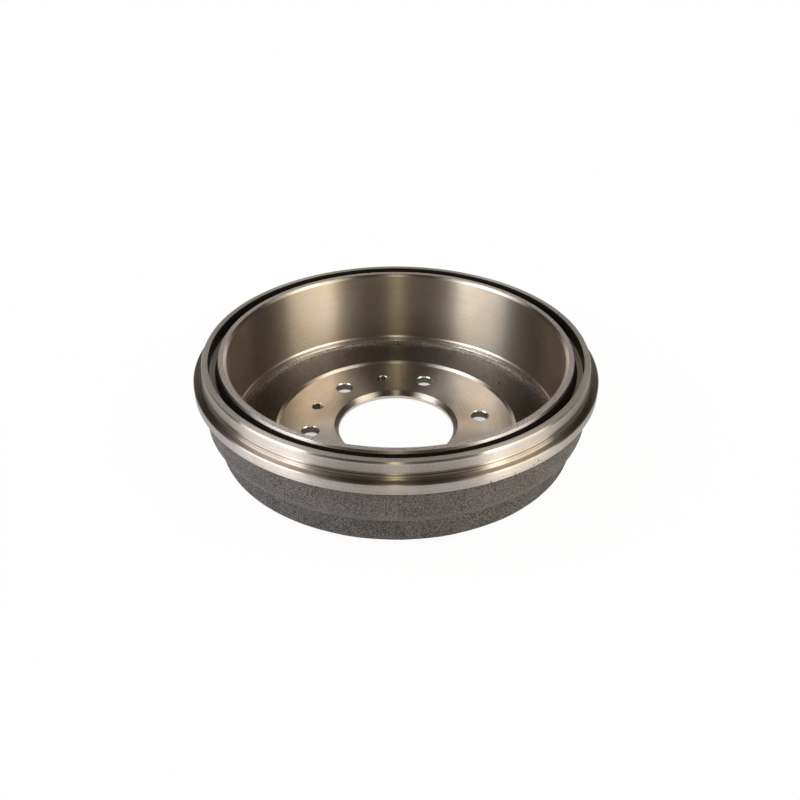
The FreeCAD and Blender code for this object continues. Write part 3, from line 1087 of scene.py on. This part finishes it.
def add_floor(context, studio):
    """A wide pale floor that shows nearly white and keeps the drum's faint shadow."""
    bm = bmesh.new()
    bmesh.ops.create_circle(
        bm, cap_ends=True, segments=FLOOR_SEGMENTS, radius=studio.floor_radius
    )
    bmesh.ops.translate(bm, verts=bm.verts[:], vec=(0.0, 0.0, -FLOOR_DROP))
    mesh = bpy.data.meshes.new("floor")
    bm.to_mesh(mesh)
    bm.free()
    floor = bpy.data.objects.new("floor", mesh)
    context.scene.collection.objects.link(floor)
    material = new_material("pale_floor")
    paint = Paint(material.node_tree)
    pale = paint.node("ShaderNodeBsdfDiffuse", None, {"Color": (*studio.floor, 1.0)})
    white = paint.node(
        "ShaderNodeEmission", None, {"Color": (1.0, 1.0, 1.0, 1.0), "Strength": 1.0}
    )
    radius = paint.parts(paint.position())[3]
    camera_ray = paint.node("ShaderNodeLightPath", None, None, "Is Camera Ray")
    path = camera_ray.socket.node
    mirrored = paint.maths(
        "MAXIMUM",
        Signal(paint, path.outputs["Is Glossy Ray"]),
        Signal(paint, path.outputs["Is Transmission Ray"]),
    )
    clear = paint.between(radius, studio.under_start, studio.under_end)
    away = paint.between(radius, studio.shadow_start, studio.shadow_end)
    plain = studio.floor_glow + away * (1.0 - studio.floor_glow)
    bore = context.scene.drum_sizes.bore_dia / 2
    face = context.scene.drum_sizes.wheel_face_dia / 2
    past_bore = paint.between(radius, bore, SHADE_FADE * bore)
    past_face = paint.between(radius, face, SHADE_FADE * face)
    hidden = past_bore * (1.0 - past_face)
    plain = plain * (1.0 - hidden * studio.floor_shade)
    share = paint.maths("MAXIMUM", camera_ray * plain, mirrored * clear * studio.floor_mirror)
    surface = paint.node(
        "ShaderNodeMixShader", None, {"Fac": share, "Shader": pale, "Shader_001": white}
    )
    paint.node("ShaderNodeOutputMaterial", None, {"Surface": surface})
    mesh.materials.append(material)


def set_world(context, studio):
    """Dim surroundings, with a white backdrop behind the floor's far edge."""
    world = bpy.data.worlds.new("studio_room")
    world.use_nodes = True
    context.scene.world = world
    paint = Paint(world.node_tree)
    seen = paint.node("ShaderNodeLightPath", None, None, "Is Camera Ray")
    colour = paint.mix(seen, studio.room, (1.0, 1.0, 1.0))
    background = paint.node("ShaderNodeBackground", None, {"Color": colour, "Strength": 1.0})
    paint.node("ShaderNodeOutputWorld", None, {"Surface": background})


def add_camera(context, studio):
    """The camera, at the photograph's angle."""
    data = bpy.data.cameras.new("camera")
    data.sensor_width = FILM_WIDTH
    data.lens = studio.lens
    data.clip_start, data.clip_end = SIGHT
    camera = bpy.data.objects.new("camera", data)
    lips = context.scene.drum_sizes.overall_height
    back = studio.distance * math.cos(studio.elevation)
    rise = studio.distance * math.sin(studio.elevation)
    target = turned_about_axis(studio, studio.aim_x, studio.aim_y, lips)
    place = turned_about_axis(studio, studio.aim_x, studio.aim_y - back, lips + rise)
    facing = (target - place).to_track_quat("-Z", "Y")
    camera.location = place
    camera.rotation_mode = "QUATERNION"
    camera.rotation_quaternion = facing @ Quaternion((0.0, 0.0, 1.0), studio.roll)
    context.scene.collection.objects.link(camera)
    context.scene.camera = camera


class DRUM_OT_stage(bpy.types.Operator):
    """Set up the floor, the lamps and the camera"""

    bl_idname = "drum.stage"
    bl_label = "Studio"

    def execute(self, context):
        scene = context.scene
        studio = scene.drum_studio
        add_floor(context, studio)
        set_world(context, studio)
        for lamp in LAMPS:
            add_lamp(context, studio, lamp)
        add_camera(context, studio)
        scene.view_settings.view_transform = "Standard"
        return {"FINISHED"}


class DRUM_PT_sidebar(bpy.types.Panel):
    """The drum's operators, sizes and finish"""

    bl_idname = "DRUM_PT_sidebar"
    bl_label = "Brake drum"
    bl_space_type = "VIEW_3D"
    bl_region_type = "UI"
    bl_category = "Drum"

    def draw(self, context):
        column = self.layout.column(align=True)
        for operator in OPERATORS:
            column.operator(operator.bl_idname)
        for group in (
            context.scene.drum_sizes,
            context.scene.drum_finish,
            context.scene.drum_studio,
        ):
            box = self.layout.box()
            for name in group.bl_rna.properties.keys():
                if name not in ("rna_type", "name"):
                    box.prop(group, name)


GROUPS = {
    "drum_sizes": DrumSizes,
    "drum_finish": DrumFinish,
    "drum_studio": StudioSettings,
}
OPERATORS = (DRUM_OT_casting, DRUM_OT_stage)
CLASSES = (*GROUPS.values(), *OPERATORS, DRUM_PT_sidebar)


def register():
    for cls in CLASSES:
        bpy.utils.register_class(cls)
    for name, group in GROUPS.items():
        setattr(bpy.types.Scene, name, bpy.props.PointerProperty(type=group))


def unregister():
    for name in GROUPS:
        delattr(bpy.types.Scene, name)
    for cls in reversed(CLASSES):
        bpy.utils.unregister_class(cls)


def main():
    """Build the drum and its studio."""
    register()
    bpy.ops.drum.casting()
    bpy.ops.drum.stage()


if __name__ == "__main__":
    main()
